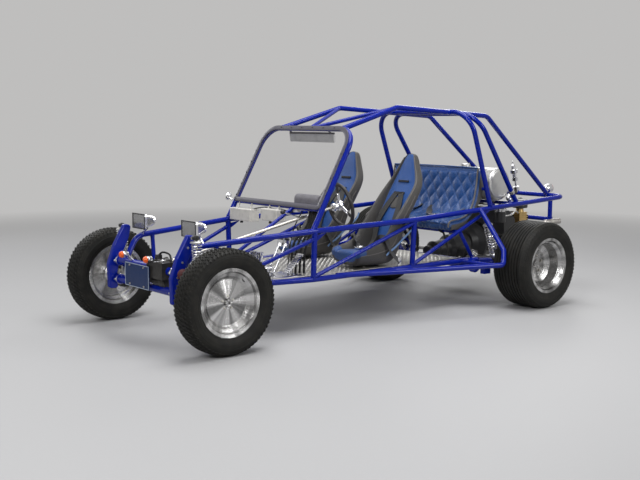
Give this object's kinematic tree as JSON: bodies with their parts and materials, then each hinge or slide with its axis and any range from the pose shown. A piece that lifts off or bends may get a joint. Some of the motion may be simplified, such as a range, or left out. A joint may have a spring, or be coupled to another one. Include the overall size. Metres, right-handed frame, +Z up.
{
  "type": "dune buggy",
  "caption": "Open tube-frame dune buggy with rear engine, bucket seats and a rear bench; the wheels spin and the front wheels steer with the steering wheel.",
  "frame": {"origin": "on the ground below the middle of the whole buggy", "axes": "+X forward, +Y to the buggy's left, +Z up"},
  "size_m": [3.9773, 1.9702, 1.5119],
  "materials": {
    "frame_paint": "gloss",
    "clear_sheet": "clear acrylic",
    "mirror": "polished",
    "tread_plate": "tread plate",
    "dark_steel": "satin black",
    "chrome": "polished",
    "zinc_steel": "zinc plated",
    "black_grip": "grained",
    "seat_vinyl": "sewn vinyl",
    "plate_paint": "blank plate",
    "polished_aluminium": "polished",
    "cast_aluminium": "cast",
    "exhaust_steel": "satin",
    "cream_plastic": "gloss",
    "tyre": "rubber"
  },
  "bodies": {
    "chassis": {"floor_frame": "frame_paint", "left_side_frame": "frame_paint", "right_side_frame": "frame_paint", "side_bars": "frame_paint", "windshield_hoop": "frame_paint", "main_hoop": "frame_paint", "rear_cage": "frame_paint", "rear_hoop": "frame_paint", "roof_frame": "frame_paint", "windshield": "clear_sheet", "mirrors": "mirror", "floor_pan": "tread_plate", "front_beam": "frame_paint", "front_arms": "dark_steel", "coilovers": "chrome", "steering_box": "dark_steel", "left_seat": "seat_vinyl", "right_seat": "seat_vinyl", "rear_seat": "seat_vinyl", "headlamps": "chrome", "marker_lamps": "chrome", "blank_plate": "plate_paint", "fuel_tank": "polished_aluminium", "engine": "cast_aluminium", "induction": "cast_aluminium", "exhaust": "exhaust_steel", "rear_arms": "dark_steel", "pedals": "chrome", "dash": "cream_plastic", "fan_shroud": "dark_steel", "rear_fittings": "chrome", "looms": "black_grip"},
    "left_knuckle": {"left_spindle": "dark_steel"},
    "right_knuckle": {"right_spindle": "dark_steel"},
    "pitman": {"pitman_arm": "dark_steel"},
    "left_rod": {"left_tie_rod": "zinc_steel"},
    "right_rod": {"right_tie_rod": "zinc_steel"},
    "steering": {"steering_shaft": "chrome", "steering_wheel": "black_grip"},
    "left_front_road_wheel": {"left_front_wheel": "polished_aluminium", "left_front_tyre": "tyre"},
    "right_front_road_wheel": {"right_front_wheel": "polished_aluminium", "right_front_tyre": "tyre"},
    "left_rear_road_wheel": {"left_rear_wheel": "polished_aluminium", "left_rear_tyre": "tyre"},
    "right_rear_road_wheel": {"right_rear_wheel": "polished_aluminium", "right_rear_tyre": "tyre"}
  },
  "joints": [
    {"name": "left_steer", "type": "hinge", "parent": "chassis", "child": "left_knuckle", "pos_m": [1.671, 0.585, 0.322], "axis": [0, 0, 1], "range_deg": [-30, 30]},
    {"name": "right_steer", "type": "hinge", "parent": "chassis", "child": "right_knuckle", "pos_m": [1.671, -0.585, 0.322], "axis": [0, 0, 1], "range_deg": [-30, 30]},
    {"name": "pitman_swing", "type": "hinge", "parent": "chassis", "child": "pitman", "pos_m": [1.671, 0.11, 0.405], "axis": [0, 0, 1], "range_deg": [-30, 30]},
    {"name": "left_rod_turn", "type": "hinge", "parent": "pitman", "child": "left_rod", "pos_m": [1.576, 0.11, 0.42], "axis": [0, 0, 1], "range_deg": [-30, 30]},
    {"name": "right_rod_turn", "type": "hinge", "parent": "pitman", "child": "right_rod", "pos_m": [1.576, 0.11, 0.39], "axis": [0, 0, 1], "range_deg": [-30, 30]},
    {"name": "steering_wheel_turn", "type": "hinge", "parent": "chassis", "child": "steering", "pos_m": [0.45, 0.325, 0.812], "axis": [-0.9626, 0.1332, 0.2359], "range_deg": [-420, 420]},
    {"name": "left_front_spin", "type": "hinge", "parent": "left_knuckle", "child": "left_front_road_wheel", "pos_m": [1.671, 0.7035, 0.322], "axis": [0, 1, 0], "continuous": true},
    {"name": "right_front_spin", "type": "hinge", "parent": "right_knuckle", "child": "right_front_road_wheel", "pos_m": [1.671, -0.7035, 0.322], "axis": [0, 1, 0], "continuous": true},
    {"name": "left_rear_spin", "type": "hinge", "parent": "chassis", "child": "left_rear_road_wheel", "pos_m": [-1.067, 0.835, 0.325], "axis": [0, 1, 0], "continuous": true},
    {"name": "right_rear_spin", "type": "hinge", "parent": "chassis", "child": "right_rear_road_wheel", "pos_m": [-1.067, -0.835, 0.325], "axis": [0, 1, 0], "continuous": true}
  ],
  "couplings": [
    {"joint": "right_steer", "follows": "left_steer", "ratio": 1},
    {"joint": "pitman_swing", "follows": "left_steer", "ratio": 1},
    {"joint": "left_rod_turn", "follows": "left_steer", "ratio": -1},
    {"joint": "right_rod_turn", "follows": "left_steer", "ratio": -1},
    {"joint": "steering_wheel_turn", "follows": "left_steer", "ratio": 14}
  ]
}
